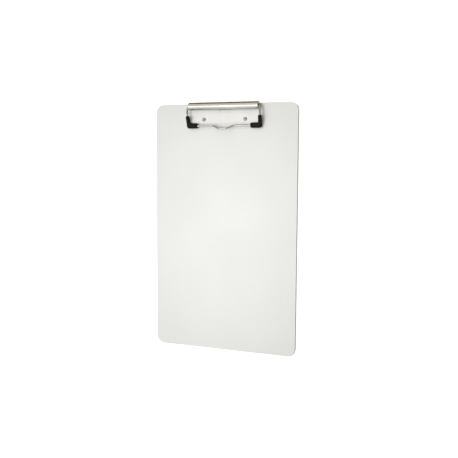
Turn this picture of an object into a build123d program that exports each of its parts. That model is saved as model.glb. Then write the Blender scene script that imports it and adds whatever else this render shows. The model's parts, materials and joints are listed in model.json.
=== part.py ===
from build123d import *

import os
from math import asin, atan2, cos, degrees, hypot, radians, sin

# Clipboard for legal-size paper, lying on its back. Millimetres.
# X runs across the board, +Y towards the clip end, +Z out of the writing face. The board's back lies on
# Z = 0, and the origin is under the middle of the whole outline.

# Board
BOARD_WIDTH = 241.3
BOARD_LENGTH = 393.7
BOARD_THICKNESS = 2.0
BOARD_CORNER_R = 12.7
BOARD_EDGE_R = 0.5

# Clip plate: a flat base whose rear edge is rolled into an open barrel
SHEET = 0.9
CLIP_HALF_LENGTH = 58.5
BARREL_R = 5.6
BARREL_OVERHANG = 1.8
BARREL_MOUTH_DEG = 78.0
PLATE_DEPTH = 29.8
FIT_GAP = 0.05
PLATE_CORNER_R = 6.0
TONGUE_WIDTH = 3.0
TONGUE_FOOT = 1.6

# Rivets through the plate and the board
RIVET_SPACING = 70.0
RIVET_DEPTH = 24.5
RIVET_SHANK_R = 2.0
RIVET_HOLE_R = 2.05
RIVET_HEAD_R = 3.1
RIVET_HEAD_HEIGHT = 1.4
RIVET_TAIL_R = 3.4
RIVET_TAIL_HEIGHT = 0.8
RIVET_TUBE_R = 1.1
TAIL_RECESS_R = 3.7
TAIL_RECESS_DEPTH = 0.9

# Wire bail
WIRE_R = 1.6
PIVOT_END_X = 5.5
SHOULDER_X = 60.4
CREST_X = 61.4
CREST_FORWARD = 9.1
CREST_RISE = 2.8
CORNER_X = 60.4
BAR_FORWARD = 30.6
BAR_DROP = 1.95
LIFT_FOOT_X = 17.0
LIFT_TOP_X = 6.8
LIFT_FORWARD = 4.6
LIFT_RISE = 5.4
PIVOT_BEND_R = 3.2
CREST_BEND_R = 14.0
CORNER_BEND_R = 3.4
LIFT_BEND_R = 6.5

# Rubber tips
TIP_BAR_LENGTH = 15.7
TIP_LEG_LENGTH = 16.3
TIP_BAR_HALF_WIDTH = 4.05
TIP_LEG_HALF_WIDTH = 2.8
TIP_HALF_THICKNESS = 2.9
TIP_OUTER_CORNER_R = 4.0
TIP_END_R = 2.4
TIP_INNER_CORNER_R = 0.8
TIP_EDGE_R = 2.2

# Torsion springs, one coiled round each pivot end
SPRING_WIRE_R = 0.55
COIL_R = 3.0
COIL_PITCH = 1.24
COIL_TURNS = 20.25
COIL_START_X = 7.5
SPRING_CLEARANCE = 0.05
SPRING_FOOT_REACH = 7.2
SPRING_BEND_R = 1.0
TANG_HOLE_R = 0.66
TANG_OVERSHOOT = 1.1

# Places worked out from the sizes above
board_y = -BARREL_OVERHANG / 2
top_edge_y = board_y + BOARD_LENGTH / 2
pivot_y = top_edge_y + BARREL_OVERHANG - BARREL_R
pivot_z = BOARD_THICKNESS + BARREL_R
plate_top_z = BOARD_THICKNESS + SHEET
plate_front_y = top_edge_y - PLATE_DEPTH
rivet_y = top_edge_y - RIVET_DEPTH
barrel_bore_r = BARREL_R - SHEET
bar_y = pivot_y - BAR_FORWARD
bar_z = pivot_z - BAR_DROP
crest_y = pivot_y - CREST_FORWARD
crest_z = pivot_z + CREST_RISE
coil_length = COIL_PITCH * COIL_TURNS
tang_x = COIL_START_X + coil_length

# The board: a flat sheet with round corners, two rivet holes and a recess round each hole at the back.
with BuildPart() as board:
    with BuildSketch(Plane((0, board_y, 0))):
        RectangleRounded(BOARD_WIDTH, BOARD_LENGTH, BOARD_CORNER_R)
    extrude(amount=BOARD_THICKNESS)
    fillet(board.edges().group_by(Axis.Z)[0], BOARD_EDGE_R)
    fillet(board.edges().group_by(Axis.Z)[-1], BOARD_EDGE_R)
    with BuildSketch(Plane((0, rivet_y, 0))):
        with GridLocations(RIVET_SPACING, 0, 2, 1):
            Circle(TAIL_RECESS_R)
    extrude(amount=TAIL_RECESS_DEPTH, mode=Mode.SUBTRACT)
    with BuildSketch(Plane((0, rivet_y, 0))):
        with GridLocations(RIVET_SPACING, 0, 2, 1):
            Circle(RIVET_HOLE_R)
    extrude(amount=BOARD_THICKNESS, mode=Mode.SUBTRACT)

# The clip plate: seen from its end, a flat strip that runs on round the back and over the top of the
# barrel. The barrel stays open at the front, where the springs' feet come out.
with BuildPart() as clip_plate:
    with BuildSketch(Plane.YZ) as plate_profile:
        with BuildLine():
            barrel_sweep = 360 - BARREL_MOUTH_DEG
            outside = CenterArc((pivot_y, pivot_z), BARREL_R, -90, barrel_sweep)
            inside = CenterArc((pivot_y, pivot_z), barrel_bore_r, -90, barrel_sweep)
            Line(outside @ 1, inside @ 1)
            Polyline(
                outside @ 0,
                (plate_front_y, BOARD_THICKNESS),
                (plate_front_y, plate_top_z),
                inside @ 0,
            )
        make_face()
    extrude(amount=CLIP_HALF_LENGTH, both=True)
    front_corners = clip_plate.edges().filter_by(Axis.Z).group_by(Axis.Y)[0]
    fillet(front_corners, PLATE_CORNER_R)
    # A tongue of the free edge is turned down onto the plate, which keeps the barrel from unrolling.
    with BuildSketch(Plane.YZ):
        with BuildLine():
            tongue_back = pivot_y - barrel_bore_r + FIT_GAP
            tongue_front = tongue_back - SHEET
            tongue_top = pivot_z - SHEET / 2
            Polyline(
                (tongue_back, tongue_top),
                (tongue_back, plate_top_z),
                (tongue_front - TONGUE_FOOT, plate_top_z),
                (tongue_front - TONGUE_FOOT, plate_top_z + SHEET),
                (tongue_front, plate_top_z + SHEET),
                (tongue_front, tongue_top),
                close=True,
            )
        make_face()
    extrude(amount=TONGUE_WIDTH / 2, both=True)
    with BuildSketch(Plane((0, rivet_y, BOARD_THICKNESS))):
        with GridLocations(RIVET_SPACING, 0, 2, 1):
            Circle(RIVET_HOLE_R)
    extrude(amount=SHEET, mode=Mode.SUBTRACT)

# The wire bail: one bent wire. Half of it is swept from its pivot end, round the leg and the front bar
# to the middle of the finger lift, and mirrored.
with BuildPart() as wire_bail:
    with BuildLine() as half_bail:
        FilletPolyline(
            (PIVOT_END_X, pivot_y, pivot_z),
            (SHOULDER_X, pivot_y, pivot_z),
            (CREST_X, crest_y, crest_z),
            (CORNER_X, bar_y, bar_z),
            (LIFT_FOOT_X, bar_y, bar_z),
            (LIFT_TOP_X, bar_y - LIFT_FORWARD, bar_z + LIFT_RISE),
            (0, bar_y - LIFT_FORWARD, bar_z + LIFT_RISE),
            radius=[PIVOT_BEND_R, CREST_BEND_R, CORNER_BEND_R, LIFT_BEND_R, LIFT_BEND_R],
        )
    with BuildSketch(Plane((PIVOT_END_X, pivot_y, pivot_z), z_dir=(1, 0, 0))):
        Circle(WIRE_R)
    sweep(path=half_bail.line)
    mirror(about=Plane.YZ)


def spring_geometry():
    """Slope of the spring's leg, as an angle above the board, and the unit vector from the pivot's axis to
    the point where the leg leaves the coil. The leg is tangent to the coil and bears on the inner corner of
    the barrel's free edge."""
    mouth = radians(BARREL_MOUTH_DEG)
    corner_y = barrel_bore_r * sin(mouth)
    corner_z = barrel_bore_r * cos(mouth)
    reach = COIL_R + SPRING_WIRE_R + SPRING_CLEARANCE
    slope = atan2(corner_z, corner_y) + asin(reach / hypot(corner_y, corner_z))
    return slope, Vector(0, -sin(slope), cos(slope))


leg_slope, leaving = spring_geometry()
coil_plane = Plane((COIL_START_X, pivot_y, pivot_z), x_dir=leaving, z_dir=(1, 0, 0))
coil = coil_plane.location * Helix(COIL_PITCH, coil_length, COIL_R, lefthand=True)
leg_direction = coil % 0
coil_start = coil @ 0
coil_end = coil @ 1
tang_direction = Vector(0, pivot_y - coil_end.Y, pivot_z - coil_end.Z).normalized()

# The tang's hole goes across each pivot end.
with BuildPart(mode=Mode.PRIVATE) as tang_hole:
    with BuildSketch(Plane((tang_x, pivot_y, pivot_z), z_dir=tang_direction)):
        Circle(TANG_HOLE_R)
    extrude(amount=2 * WIRE_R, both=True)
    mirror(about=Plane.YZ)

with BuildPart() as drilled_bail:
    add(wire_bail.part)
    add(tang_hole.part, mode=Mode.SUBTRACT)

# The right torsion spring: a foot on the plate, a leg up to the coil, the coil, and a tang that turns in
# through the pivot end. It winds tighter as the bail opens.
with BuildPart() as torsion_spring_right:
    foot_z = plate_top_z + SPRING_WIRE_R
    leg_length = (coil_start.Z - foot_z) / leg_direction.Z
    ankle = coil_start - leg_direction * leg_length
    toe = Vector(ankle.X, pivot_y - SPRING_FOOT_REACH, foot_z)
    with BuildLine() as spring_path:
        FilletPolyline(toe, ankle, coil_start, radius=SPRING_BEND_R)
        add(coil)
    with BuildSketch(Plane(toe, z_dir=ankle - toe)):
        Circle(SPRING_WIRE_R)
    sweep(path=spring_path.line, is_frenet=True)
    with BuildSketch(Plane(coil_end, z_dir=tang_direction)):
        Circle(SPRING_WIRE_R)
    extrude(amount=COIL_R + TANG_OVERSHOOT)
    with Locations(coil_end):
        Sphere(SPRING_WIRE_R + SPRING_CLEARANCE)

with BuildPart() as torsion_spring_left:
    add(mirror(torsion_spring_right.part, about=Plane.YZ, mode=Mode.PRIVATE))


# The right rubber tip: an L-shaped sleeve on the bail's corner, in the plane of the leg and the bar. Its
# leg arm leans out with the wire.
leg_rise = Vector(0, crest_y - bar_y, crest_z - bar_z)
leg_up = leg_rise.normalized()
lean = (CREST_X - CORNER_X) / leg_rise.length
tip_plane = Plane((CORNER_X, bar_y, bar_z), x_dir=(1, 0, 0), z_dir=Vector(1, 0, 0).cross(leg_up))
with BuildPart() as rubber_tip_right:
    with BuildSketch(tip_plane):
        with BuildLine():
            FilletPolyline(
                (TIP_LEG_HALF_WIDTH + lean * TIP_LEG_LENGTH, TIP_LEG_LENGTH),
                (-TIP_LEG_HALF_WIDTH + lean * TIP_LEG_LENGTH, TIP_LEG_LENGTH),
                (-TIP_LEG_HALF_WIDTH + lean * TIP_BAR_HALF_WIDTH, TIP_BAR_HALF_WIDTH),
                (-TIP_BAR_LENGTH, TIP_BAR_HALF_WIDTH),
                (-TIP_BAR_LENGTH, -TIP_BAR_HALF_WIDTH),
                (TIP_LEG_HALF_WIDTH - lean * TIP_BAR_HALF_WIDTH, -TIP_BAR_HALF_WIDTH),
                radius=[
                    TIP_END_R,
                    TIP_END_R,
                    TIP_INNER_CORNER_R,
                    TIP_END_R,
                    TIP_END_R,
                    TIP_OUTER_CORNER_R,
                ],
                close=True,
            )
        make_face()
    extrude(amount=TIP_HALF_THICKNESS, both=True)
    rims = rubber_tip_right.faces().sort_by(Axis(tip_plane.origin, tip_plane.z_dir))
    fillet(rims[0].edges() + rims[-1].edges(), TIP_EDGE_R)
    add(drilled_bail.part, mode=Mode.SUBTRACT)

with BuildPart() as rubber_tip_left:
    add(mirror(rubber_tip_right.part, about=Plane.YZ, mode=Mode.PRIVATE))


# A rivet: a low domed head on the plate and a tubular shank, its tail clinched flush in the board's back.
with BuildPart() as rivet:
    head_top_z = plate_top_z + RIVET_HEAD_HEIGHT
    tail_low_z = TAIL_RECESS_DEPTH - RIVET_TAIL_HEIGHT
    dome_r = (RIVET_HEAD_R**2 + RIVET_HEAD_HEIGHT**2) / (2 * RIVET_HEAD_HEIGHT)
    rim_angle = degrees(atan2(dome_r - RIVET_HEAD_HEIGHT, RIVET_HEAD_R))
    with BuildSketch(Plane.XZ):
        with BuildLine():
            Polyline(
                (0, head_top_z),
                (0, plate_top_z),
                (RIVET_TUBE_R, plate_top_z),
                (RIVET_TUBE_R, tail_low_z),
                (RIVET_TAIL_R, tail_low_z),
                (RIVET_TAIL_R, TAIL_RECESS_DEPTH),
                (RIVET_SHANK_R, TAIL_RECESS_DEPTH),
                (RIVET_SHANK_R, plate_top_z),
                (RIVET_HEAD_R, plate_top_z),
            )
            CenterArc((0, head_top_z - dome_r), dome_r, rim_angle, 90 - rim_angle)
        make_face()
    revolve(axis=Axis.Z)

rivet_left = Pos(-RIVET_SPACING / 2, rivet_y, 0) * rivet.part
rivet_right = Pos(RIVET_SPACING / 2, rivet_y, 0) * rivet.part

os.makedirs("parts", exist_ok=True)
pieces = {
    "board": board.part,
    "clip_plate": clip_plate.part,
    "wire_bail": drilled_bail.part,
    "rubber_tip_left": rubber_tip_left.part,
    "rubber_tip_right": rubber_tip_right.part,
    "torsion_spring_left": torsion_spring_left.part,
    "torsion_spring_right": torsion_spring_right.part,
    "rivet_left": rivet_left,
    "rivet_right": rivet_right,
}
for name, piece in pieces.items():
    piece.label = name
    export_step(piece, f"parts/{name}.step")
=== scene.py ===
import json
import math

import bmesh
import bpy
from mathutils import Matrix, Vector


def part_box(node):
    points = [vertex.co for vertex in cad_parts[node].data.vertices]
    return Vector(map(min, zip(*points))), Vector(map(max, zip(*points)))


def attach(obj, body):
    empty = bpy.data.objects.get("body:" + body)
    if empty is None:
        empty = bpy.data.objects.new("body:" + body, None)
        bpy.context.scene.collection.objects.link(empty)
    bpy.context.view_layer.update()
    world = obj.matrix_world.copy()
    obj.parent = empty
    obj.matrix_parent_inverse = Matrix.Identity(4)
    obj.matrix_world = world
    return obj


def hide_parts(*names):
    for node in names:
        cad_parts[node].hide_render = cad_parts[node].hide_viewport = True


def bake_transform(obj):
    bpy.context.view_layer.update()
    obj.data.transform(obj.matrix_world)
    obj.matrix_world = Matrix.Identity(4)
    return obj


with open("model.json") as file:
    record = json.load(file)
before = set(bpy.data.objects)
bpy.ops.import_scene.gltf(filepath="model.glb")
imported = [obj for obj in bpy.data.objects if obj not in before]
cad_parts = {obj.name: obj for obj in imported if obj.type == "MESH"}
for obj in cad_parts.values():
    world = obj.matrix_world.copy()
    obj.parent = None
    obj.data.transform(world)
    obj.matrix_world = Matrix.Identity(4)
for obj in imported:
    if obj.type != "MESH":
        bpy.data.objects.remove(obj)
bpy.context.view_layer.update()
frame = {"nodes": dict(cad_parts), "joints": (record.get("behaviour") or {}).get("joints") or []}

# Places read from the frame, in metres.
board_low, board_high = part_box("board")
BOARD_MIDDLE = Vector(((board_low.x + board_high.x) / 2, (board_low.y + board_high.y) / 2, board_high.z))

pivot = Vector(frame["joints"][0]["pos_m"])
plate_low, plate_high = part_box("clip_plate")
SHEET = 0.0009
BARREL_BORE = plate_high.z - pivot.z - SHEET
PLATE_TOP = plate_low.z + SHEET
BARREL_FRONT = pivot.y - BARREL_BORE - SHEET

# The wire bail's line, from the pivot.
CREST_X = 0.0614
CREST = Vector((0, pivot.y - 0.0091, pivot.z + 0.0028))
CORNER_X = 0.0604
BAR = Vector((0, pivot.y - 0.0306, pivot.z - 0.00195))

# Rubber tips: an L-shaped sleeve on each corner of the bail, in the plane of its leg and bar.
TIP_BAR_LENGTH = 0.0157
TIP_LEG_LENGTH = 0.0163
TIP_BAR_HALF_WIDTH = 0.00405
TIP_LEG_HALF_WIDTH = 0.0028
TIP_HALF_THICKNESS = 0.0029
TIP_OUTER_CORNER_R = 0.0040
TIP_END_R = 0.0024
TIP_INNER_CORNER_R = 0.0008
TIP_EDGE_R = 0.0022
PARTING_RIDGE = 0.00007
PARTING_WIDTH = 0.00022

# Torsion springs
SPRING_WIRE_R = 0.00055
COIL_R = 0.0030
COIL_PITCH = 0.00124
COIL_TURNS = 20.25
COIL_START_X = 0.0075
SPRING_FOOT_REACH = 0.0072
SPRING_BEND_R = 0.0010
BARREL_MOUTH = math.radians(78.0)
TANG_OVERSHOOT = 0.0011

# Camera, measured from the middle of the board's front face.
CAMERA_DISTANCE = 1.140
CAMERA_SWING = math.radians(22.49)
CAMERA_LIFT = math.radians(5.64)
CAMERA_ROLL = math.radians(0.32)
CAMERA_AIM = Vector((0.0085, -0.0005, 0.0))
CAMERA_LENS = 56.17

# Softbox overhead, whose reflection fills the satin board as the camera sees it.
SOFTBOX_PLACE = Vector((-0.49, -0.13, 1.25))
SOFTBOX_WIDTH = 0.64
SOFTBOX_LENGTH = 0.94
SOFTBOX_POWER = 2.0

# A very soft sun that glossy surfaces don't reflect, and the floor.
FILL_PLACE = Vector((-1, 0.5, 3))
FILL_ENERGY = 4.0
FILL_ANGLE = math.radians(100)
FLOOR_HALF = 6.0
FLOOR_Z = -0.0004


def aim(obj, target, roll=0.0):
    """Turns a camera or light so that it looks at the target, with +Y up in its view."""
    back = (obj.location - target).normalized()
    right = Vector((0, 1, 0)).cross(back).normalized()
    up = back.cross(right)
    tilted_right = right * math.cos(roll) + up * math.sin(roll)
    tilted_up = up * math.cos(roll) - right * math.sin(roll)
    obj.rotation_euler = Matrix((tilted_right, tilted_up, back)).transposed().to_euler()


def link_object(name, data):
    obj = bpy.data.objects.new(name, data)
    bpy.context.scene.collection.objects.link(obj)
    return obj


def make_camera():
    data = bpy.data.cameras.new("camera")
    data.lens = CAMERA_LENS
    data.sensor_width = 36.0
    camera = link_object("camera", data)
    swung = Vector((math.sin(CAMERA_SWING), 0, math.cos(CAMERA_SWING))) * math.cos(CAMERA_LIFT)
    camera.location = BOARD_MIDDLE + CAMERA_DISTANCE * (swung + Vector((0, math.sin(CAMERA_LIFT), 0)))
    aim(camera, BOARD_MIDDLE + CAMERA_AIM, CAMERA_ROLL)
    bpy.context.scene.camera = camera


# Node helpers

class Nodes:
    """A node tree, with short calls for the nodes that the materials and the world use."""

    def __init__(self, tree):
        self.tree = tree
        self.coordinates = tree.nodes.new("ShaderNodeTexCoord")

    def node(self, kind, inputs=None, **settings):
        made = self.tree.nodes.new("ShaderNode" + kind)
        for key, value in settings.items():
            setattr(made, key, value)
        for key, value in (inputs or {}).items():
            self.put(made.inputs[key], value)
        return made

    def put(self, socket, value):
        if isinstance(value, bpy.types.NodeSocket):
            self.tree.links.new(value, socket)
        else:
            socket.default_value = value

    def split(self, source):
        """The x, y and z of a coordinate."""
        made = self.node("SeparateXYZ", {"Vector": self.coordinates.outputs[source]})
        return made.outputs["X"], made.outputs["Y"], made.outputs["Z"]

    def span(self, value, low, high, to_low=0.0, to_high=1.0):
        """Maps value from low..high to to_low..to_high and holds it there."""
        inputs = {"Value": value, "From Min": low, "From Max": high, "To Min": to_low, "To Max": to_high}
        return self.node("MapRange", inputs).outputs["Result"]

    def mix(self, factor, first, second):
        inputs = {6: first, 7: second, 0: factor}
        return self.node("Mix", inputs, data_type="RGBA").outputs[2]

    def maths(self, operation, first, second=0.0):
        return self.node("Math", {0: first, 1: second}, operation=operation).outputs["Value"]

    def ramp(self, value, stops):
        """A colour at each stop's place, and even blends between them."""
        made = self.node("ValToRGB", {"Fac": value})
        while len(made.color_ramp.elements) < len(stops):
            made.color_ramp.elements.new(0.5)
        for element, (place, colour) in zip(made.color_ramp.elements, stops):
            element.position = place
            element.color = (*colour, 1)
        return made.outputs["Color"]


class Shader(Nodes):
    """A material. Sockets that are the same all over it are set by name."""

    def __init__(self, name, **sockets):
        self.material = bpy.data.materials.new(name)
        self.material.use_nodes = True
        super().__init__(self.material.node_tree)
        self.surface = self.tree.nodes["Principled BSDF"]
        for socket, value in sockets.items():
            self.surface.inputs[socket.replace("_", " ")].default_value = value

    def stretched(self, x, y, z):
        """Coordinates in which a texture's grain is x, y, z metres long."""
        grain = {"Vector": self.coordinates.outputs["Object"], "Scale": (1 / x, 1 / y, 1 / z)}
        return self.node("Mapping", grain).outputs["Vector"]

    def noise(self, vector, detail=3.0):
        inputs = {"Vector": vector, "Scale": 1.0, "Detail": detail, "Roughness": 0.55}
        return self.node("TexNoise", inputs).outputs["Fac"]

    def bump(self, height, depth, strength, under=None):
        inputs = {"Height": height, "Distance": depth, "Strength": strength}
        if under is not None:
            inputs["Normal"] = under
        return self.node("Bump", inputs).outputs["Normal"]

    def finish(self, **sockets):
        for socket, value in sockets.items():
            self.put(self.surface.inputs[socket.replace("_", " ")], value)
        return self.material


def scratches(shader, length, width, turn, share):
    """Thin straight scratches in one direction: 1 on a scratch, 0 elsewhere. share is how many show."""
    turned = {"Vector": shader.coordinates.outputs["Object"], "Rotation": (0, 0, turn)}
    turned["Scale"] = (1 / length, 1 / width, 1 / width)
    vector = shader.node("Mapping", turned).outputs["Vector"]
    lines = shader.noise(vector, detail=1.0)
    return shader.span(lines, 0.5 + share, 0.56 + share, 0.0, 1.0)


def satin_aluminium():
    """Pale sheet aluminium with a fine grain along its length and faint handling marks. It is a little
    less than fully metallic, which fades the wire's mirror image in it."""
    shader = Shader("satin_aluminium", Metallic=0.84)
    grain = shader.noise(shader.stretched(0.00022, 0.030, 0.00022), detail=4.0)
    coarse = shader.noise(shader.stretched(0.0011, 0.12, 0.0011), detail=2.0)
    clouds = shader.noise(shader.stretched(0.07, 0.09, 0.07), detail=3.0)
    marks = scratches(shader, 0.045, 0.0005, 0.9, 0.17)
    more_marks = scratches(shader, 0.06, 0.0006, -0.5, 0.18)
    all_marks = shader.maths("MAXIMUM", marks, more_marks)
    tone = shader.mix(shader.span(grain, 0.3, 0.7), (0.80, 0.805, 0.79, 1), (0.86, 0.865, 0.85, 1))
    tone = shader.mix(shader.span(coarse, 0.3, 0.7, 0, 0.5), tone, (0.82, 0.82, 0.805, 1))
    rough = shader.span(clouds, 0.3, 0.7, 0.43, 0.47)
    rough = shader.maths("ADD", rough, shader.span(grain, 0.3, 0.7, -0.02, 0.02))
    rough = shader.maths("SUBTRACT", rough, shader.maths("MULTIPLY", all_marks, 0.04))
    normal = shader.bump(grain, 0.000003, 0.5)
    normal = shader.bump(all_marks, 0.000004, -0.3, normal)
    return shader.finish(Base_Color=tone, Roughness=rough, Normal=normal)


def bright_nickel(name, grain, low, high, shade=1.0):
    """Nickel plating on steel: a near mirror, low to high in roughness, with polishing lines along the
    grain and a light haze. Returns the unfinished shader, its tone and its roughness."""
    shader = Shader(name, Metallic=1.0)
    polish = shader.noise(shader.stretched(*grain), detail=3.0)
    haze = shader.noise(shader.stretched(0.011, 0.008, 0.008), detail=4.0)
    tone = shader.mix(shader.span(haze, 0.3, 0.75), (0.92, 0.915, 0.90, 1), (0.89, 0.882, 0.865, 1))
    tone = shader.mix(1.0 - shade, tone, (0, 0, 0, 1))
    rough = shader.span(haze, 0.3, 0.7, low, high)
    rough = shader.maths("ADD", rough, shader.span(polish, 0.35, 0.75, -0.015, 0.02))
    shader.finish(Normal=shader.bump(polish, 0.0000015, 0.4))
    return shader, tone, rough


def plain_nickel(name, grain, low, high, shade):
    shader, tone, rough = bright_nickel(name, (grain, grain, grain), low, high, shade)
    return shader.finish(Base_Color=tone, Roughness=rough)


def clip_nickel():
    """The clip plate's nickel: burnished on the barrel, duller and less metallic on the flat in front of
    it. The barrel's lower front is painted near black, as painted shade and a painted dark reflection of
    the crevice at the plate, and its back is painted warm, as a painted reflection of a warm room."""
    shader, tone, rough = bright_nickel("clip_nickel", (0.02, 0.0004, 0.0004), 0.12, 0.17)
    _, y, z = shader.split("Object")
    flat = shader.span(y, BARREL_FRONT - 0.0006, BARREL_FRONT - 0.0002, 1.0, 0.0)
    rough = shader.maths("ADD", rough, shader.maths("MULTIPLY", flat, 0.33))
    metal = shader.span(flat, 0.0, 1.0, 1.0, 0.84)
    front = shader.span(y, BARREL_FRONT + 0.0003, BARREL_FRONT + 0.0006, 1.0, 0.0)
    raised = shader.span(z, PLATE_TOP + 0.0003, PLATE_TOP + 0.0009)
    on_barrel = shader.maths("MULTIPLY", shader.maths("SUBTRACT", 1.0, flat), raised)
    # Painted shade and painted dark reflection: the barrel's lower front just above the plate, where the
    # crevice lies, is painted near black.
    dark = shader.maths("MULTIPLY", shader.maths("MULTIPLY", front, on_barrel), 0.95)
    # Painted reflection: the barrel's back is tinted warm in place of a warm room reflected in it.
    warm = shader.span(y, pivot.y + 0.0005, pivot.y + 0.003, 0.0, 0.5)
    tone = shader.mix(warm, tone, (0.80, 0.68, 0.45, 1))
    tone = shader.mix(dark, tone, (0.03, 0.026, 0.02, 1))
    return shader.finish(Base_Color=tone, Metallic=metal, Roughness=rough)


def moulded_rubber():
    """Black rubber: a fine spark-eroded mould texture, a little bloom and dust."""
    shader = Shader("moulded_rubber", Metallic=0.0, Specular_IOR_Level=0.18)
    texture = shader.noise(shader.stretched(0.00025, 0.00025, 0.00025), detail=3.0)
    bloom = shader.noise(shader.stretched(0.004, 0.004, 0.004), detail=4.0)
    deep, dusty = (0.004, 0.0038, 0.0032, 1), (0.010, 0.0092, 0.0075, 1)
    tone = shader.mix(shader.span(bloom, 0.35, 0.75), deep, dusty)
    rough = shader.span(bloom, 0.3, 0.7, 0.58, 0.72)
    normal = shader.bump(texture, 0.00002, 0.5)
    return shader.finish(Base_Color=tone, Roughness=rough, Normal=normal)


def spring_steel():
    """Oiled spring wire: darker, with draw lines."""
    shader = Shader("spring_steel", Metallic=1.0)
    streaks = shader.noise(shader.stretched(0.0008, 0.0002, 0.0002), detail=3.0)
    tone = shader.mix(shader.span(streaks, 0.3, 0.7), (0.30, 0.29, 0.28, 1), (0.46, 0.45, 0.43, 1))
    rough = shader.span(streaks, 0.3, 0.7, 0.26, 0.38)
    normal = shader.bump(streaks, 0.000004, 0.5)
    return shader.finish(Base_Color=tone, Roughness=rough, Normal=normal)


def smooth_mesh(name, bm, material):
    """Makes an object of a bmesh, smooth shaded, with sharp edges kept past 40 degrees."""
    bmesh.ops.recalc_face_normals(bm, faces=bm.faces)
    mesh = bpy.data.meshes.new(name)
    bm.to_mesh(mesh)
    bm.free()
    mesh.materials.append(material)
    mesh.shade_smooth()
    mesh.set_sharp_from_angle(angle=math.radians(40))
    return link_object(name, mesh)


def round_corners(corners, radii, steps=8):
    """The closed outline through the corners, each rounded by an arc of its radius."""
    outline = []
    for i, (corner, radius) in enumerate(zip(corners, radii)):
        to_last = (corners[i - 1] - corner).normalized()
        to_next = (corners[(i + 1) % len(corners)] - corner).normalized()
        half = to_last.angle(to_next) / 2
        centre = corner + (to_last + to_next).normalized() * (radius / math.sin(half))
        start = corner + to_last * (radius / math.tan(half)) - centre
        end = corner + to_next * (radius / math.tan(half)) - centre
        turn = start.angle_signed(end)
        for step in range(steps + 1):
            spoke = start.copy()
            spoke.rotate(Matrix.Rotation(-turn * step / steps, 2))
            outline.append(centre + spoke)
    return outline


def tip_levels():
    """(inset, height) of each ring of a tip, from its lower face up: a quarter round, a straight side with
    the mould's parting ridge half-way up, and a quarter round."""
    straight = TIP_HALF_THICKNESS - TIP_EDGE_R
    upper = [(-PARTING_RIDGE, 0.0)]
    upper.append((-PARTING_RIDGE, PARTING_WIDTH * 0.3))
    upper.append((0.0, PARTING_WIDTH * 0.6))
    for step in range(9):
        turn = math.radians(90 * step / 8)
        upper.append((TIP_EDGE_R * (1 - math.cos(turn)), straight + TIP_EDGE_R * math.sin(turn)))
    lower = [(inset, -height) for inset, height in reversed(upper[1:])]
    return lower + upper


def make_tip(side, material):
    """One rubber tip. side is 1 on the right and -1 on the left."""
    rise = CREST - BAR
    along_leg = rise.normalized()
    lean = (CREST_X - CORNER_X) / rise.length
    across = Vector((1, 0, 0))
    normal = across.cross(along_leg)
    long_leg, bar, leg = TIP_LEG_LENGTH, TIP_BAR_HALF_WIDTH, TIP_LEG_HALF_WIDTH
    corners = [
        Vector((leg + lean * long_leg, long_leg)),
        Vector((-leg + lean * long_leg, long_leg)),
        Vector((-leg + lean * bar, bar)),
        Vector((-TIP_BAR_LENGTH, bar)),
        Vector((-TIP_BAR_LENGTH, -bar)),
        Vector((leg - lean * bar, -bar)),
    ]
    radii = [TIP_END_R, TIP_END_R, TIP_INNER_CORNER_R, TIP_END_R, TIP_END_R, TIP_OUTER_CORNER_R]
    outline = round_corners(corners, radii)
    count = len(outline)
    inward = []
    for i in range(count):
        tangent = (outline[(i + 1) % count] - outline[i - 1]).normalized()
        inward.append(Vector((-tangent.y, tangent.x)))
    bm = bmesh.new()
    rings = []
    for inset, height in tip_levels():
        ring = []
        for point, inner in zip(outline, inward):
            flat = point + inner * inset
            place = BAR + across * (CORNER_X + flat.x) + along_leg * flat.y + normal * height
            place.x *= side
            ring.append(bm.verts.new(place))
        rings.append(ring)
    for low, high in zip(rings, rings[1:]):
        for i in range(count):
            j = (i + 1) % count
            bm.faces.new((low[i], low[j], high[j], high[i]))
    for ring in (rings[0], rings[-1]):
        rim = [bm.edges.get((ring[i - 1], ring[i])) for i in range(count)]
        bmesh.ops.triangle_fill(bm, edges=rim, use_beauty=True)
    word = "right" if side > 0 else "left"
    tip = smooth_mesh("tip_" + word, bm, material)
    cut_wire_channel(tip)
    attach(tip, "bail")
    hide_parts("rubber_tip_" + word)


def cut_wire_channel(tip):
    """Cuts the bail's wire out of a tip, so that the tip is a sleeve."""
    cutter_mesh = frame["nodes"]["wire_bail"].data.copy()
    bm = bmesh.new()
    bm.from_mesh(cutter_mesh)
    bmesh.ops.remove_doubles(bm, verts=bm.verts, dist=0.000001)
    bm.to_mesh(cutter_mesh)
    bm.free()
    cutter = link_object("cutter", cutter_mesh)
    difference = tip.modifiers.new("channel", "BOOLEAN")
    difference.operation = "DIFFERENCE"
    difference.solver = "EXACT"
    difference.object = cutter
    bpy.context.view_layer.update()
    evaluated = tip.evaluated_get(bpy.context.evaluated_depsgraph_get())
    cut = bpy.data.meshes.new_from_object(evaluated)
    tip.modifiers.clear()
    tip.data = cut
    bpy.data.objects.remove(cutter)


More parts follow.
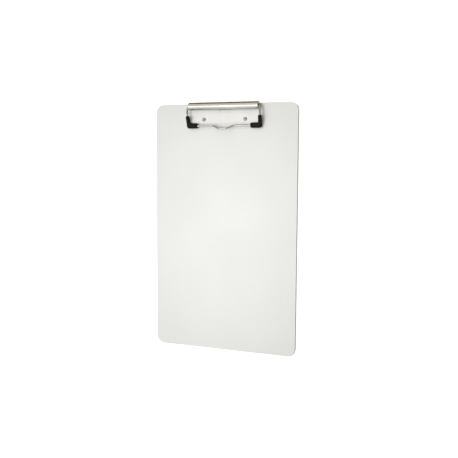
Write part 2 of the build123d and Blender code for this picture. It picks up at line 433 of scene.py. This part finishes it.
def spring_line():
    """The right spring's centre line: a foot on the plate, a leg up to the coil, the coil, and a tang
    through the bail's pivot end. The leg bears on the inner corner of the barrel's free edge."""
    corner = Vector((0, -BARREL_BORE * math.sin(BARREL_MOUTH), BARREL_BORE * math.cos(BARREL_MOUTH)))
    reach = COIL_R + SPRING_WIRE_R
    slope = math.atan2(corner.z, -corner.y) + math.asin(reach / corner.length)
    leaving = Vector((0, -math.sin(slope), math.cos(slope)))
    downhill = Vector((0, -math.cos(slope), -math.sin(slope)))
    start = Vector((COIL_START_X, pivot.y, pivot.z)) + leaving * COIL_R
    foot_z = PLATE_TOP + SPRING_WIRE_R
    ankle = start + downhill * ((start.z - foot_z) / math.sin(slope))
    toe = Vector((COIL_START_X, pivot.y - SPRING_FOOT_REACH, foot_z))
    points = [toe]
    bend = SPRING_BEND_R * math.tan(slope / 2)
    before = ankle + (toe - ankle).normalized() * bend
    centre = before + Vector((0, 0, SPRING_BEND_R))
    for step in range(9):
        turn = slope * step / 8
        spoke = Vector((0, math.sin(turn), -math.cos(turn))) * SPRING_BEND_R
        points.append(centre + spoke)
    turns = int(COIL_TURNS * 40)
    for step in range(turns + 1):
        angle = slope + math.radians(90) - 2 * math.pi * COIL_TURNS * step / turns
        spoke = Vector((0, math.cos(angle), math.sin(angle))) * COIL_R
        along = COIL_START_X + COIL_PITCH * COIL_TURNS * step / turns
        points.append(Vector((along, pivot.y, pivot.z)) + spoke)
    inward = (Vector((points[-1].x, pivot.y, pivot.z)) - points[-1]).normalized()
    points.append(points[-1] + inward * (COIL_R + TANG_OVERSHOOT))
    return points


def make_spring(side, material):
    word = "right" if side > 0 else "left"
    curve = bpy.data.curves.new("spring_line", "CURVE")
    curve.dimensions = "3D"
    curve.bevel_depth = SPRING_WIRE_R
    curve.bevel_resolution = 3
    curve.use_fill_caps = True
    points = spring_line()
    spline = curve.splines.new("POLY")
    spline.points.add(len(points) - 1)
    for made, point in zip(spline.points, points):
        made.co = (point.x * side, point.y, point.z, 1)
    line = link_object("spring_line", curve)
    bpy.context.view_layer.update()
    evaluated = line.evaluated_get(bpy.context.evaluated_depsgraph_get())
    mesh = bpy.data.meshes.new_from_object(evaluated)
    bpy.data.objects.remove(line)
    bm = bmesh.new()
    bm.from_mesh(mesh)
    bmesh.ops.remove_doubles(bm, verts=bm.verts, dist=0.00001)
    spring = smooth_mesh("spring_" + word, bm, material)
    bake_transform(spring)
    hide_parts("torsion_spring_" + word)


def paint(node, material):
    """Gives a CAD node its material, on every slot it has."""
    data = frame["nodes"][node].data
    data.materials.clear()
    data.materials.append(material)


def make_softbox():
    data = bpy.data.lights.new("softbox", "AREA")
    data.shape = "ELLIPSE"
    data.size = SOFTBOX_WIDTH
    data.size_y = SOFTBOX_LENGTH
    data.energy = SOFTBOX_POWER
    link_object("softbox", data).location = SOFTBOX_PLACE


def make_fill():
    """A soft sun for the floor and for what is matt; glossy surfaces don't reflect it."""
    data = bpy.data.lights.new("fill", "SUN")
    data.energy = FILL_ENERGY
    data.angle = FILL_ANGLE
    light = link_object("fill", data)
    light.location = FILL_PLACE
    aim(light, Vector((0, 0, 0)))
    light.visible_glossy = False


def make_floor():
    corners = [(FLOOR_HALF * x, FLOOR_HALF * y, 0) for x, y in ((-1, -1), (1, -1), (1, 1), (-1, 1))]
    mesh = bpy.data.meshes.new("floor")
    mesh.from_pydata(corners, [], [(0, 1, 2, 3)])
    shader = Shader("floor", Roughness=0.9)
    tint = shader.noise(shader.stretched(0.5, 0.5, 0.5))
    pale = shader.mix(shader.span(tint, 0.3, 0.7), (0.90, 0.90, 0.90, 1), (0.92, 0.92, 0.92, 1))
    mesh.materials.append(shader.finish(Base_Color=pale))
    floor = link_object("floor", mesh)
    floor.location.z = FLOOR_Z
    floor.visible_glossy = False


def make_world():
    """A studio seen only in reflections. Each side is shaded by height, 0 straight down, 0.5 at the
    horizon and 1 overhead: warm behind the clip, brightest low over the foot, dim on the right, mid-grey
    on the left, and dark below the horizon all round. The camera itself sees plain white."""
    world = bpy.data.worlds.new("studio")
    bpy.context.scene.world = world
    world.use_nodes = True
    nodes = Nodes(world.node_tree)
    x, y, z = nodes.split("Generated")
    height = nodes.span(z, -1.0, 1.0)
    overhead = (0.98, (0.30, 0.30, 0.295))
    clip_side = nodes.ramp(height, [
        (0.40, (0.060, 0.042, 0.022)),
        (0.50, (0.10, 0.072, 0.036)),
        (0.56, (0.50, 0.44, 0.33)),
        (0.90, (0.74, 0.69, 0.58)),
        overhead,
    ])
    foot_side = nodes.ramp(height, [
        (0.40, (0.04, 0.036, 0.03)),
        (0.50, (0.05, 0.045, 0.04)),
        (0.56, (0.40, 0.40, 0.38)),
        (0.66, (0.86, 0.86, 0.83)),
        overhead,
    ])
    left_side = nodes.ramp(height, [
        (0.40, (0.05, 0.045, 0.04)),
        (0.52, (0.13, 0.12, 0.11)),
        (0.62, (0.36, 0.36, 0.35)),
        (0.80, (0.50, 0.50, 0.49)),
        overhead,
    ])
    right_side = nodes.ramp(height, [
        (0.40, (0.04, 0.036, 0.03)),
        (0.55, (0.07, 0.065, 0.06)),
        (0.80, (0.13, 0.13, 0.125)),
        (0.92, (0.26, 0.26, 0.255)),
        overhead,
    ])
    level = nodes.maths("SQRT", nodes.maths("SUBTRACT", 1.0001, nodes.maths("MULTIPLY", z, z)))
    east = nodes.maths("DIVIDE", x, level)
    north = nodes.maths("DIVIDE", y, level)
    around = nodes.mix(nodes.span(north, -0.4, 0.4), foot_side, clip_side)
    around = nodes.mix(nodes.span(east, 0.70, 0.92), around, right_side)
    around = nodes.mix(nodes.span(east, -0.70, -0.92), around, left_side)
    rays = nodes.node("LightPath")
    seen = nodes.mix(rays.outputs["Is Camera Ray"], around, (1, 1, 1, 1))
    background = nodes.tree.nodes["Background"]
    nodes.put(background.inputs["Color"], seen)
    nodes.put(background.inputs["Strength"], 1.0)


make_camera()
make_world()
make_floor()
make_softbox()
make_fill()
bpy.context.scene.view_settings.view_transform = "Standard"

paint("board", satin_aluminium())
paint("clip_plate", clip_nickel())
paint("wire_bail", plain_nickel("wire_nickel", 0.004, 0.16, 0.24, 0.80))
rivets = plain_nickel("rivet_nickel", 0.0006, 0.14, 0.22, 0.75)
rubber = moulded_rubber()
spring = spring_steel()
for word, side in (("left", -1), ("right", 1)):
    paint("rivet_" + word, rivets)
    paint("rubber_tip_" + word, rubber)
    paint("torsion_spring_" + word, spring)
    make_tip(side, rubber)
    make_spring(side, spring)
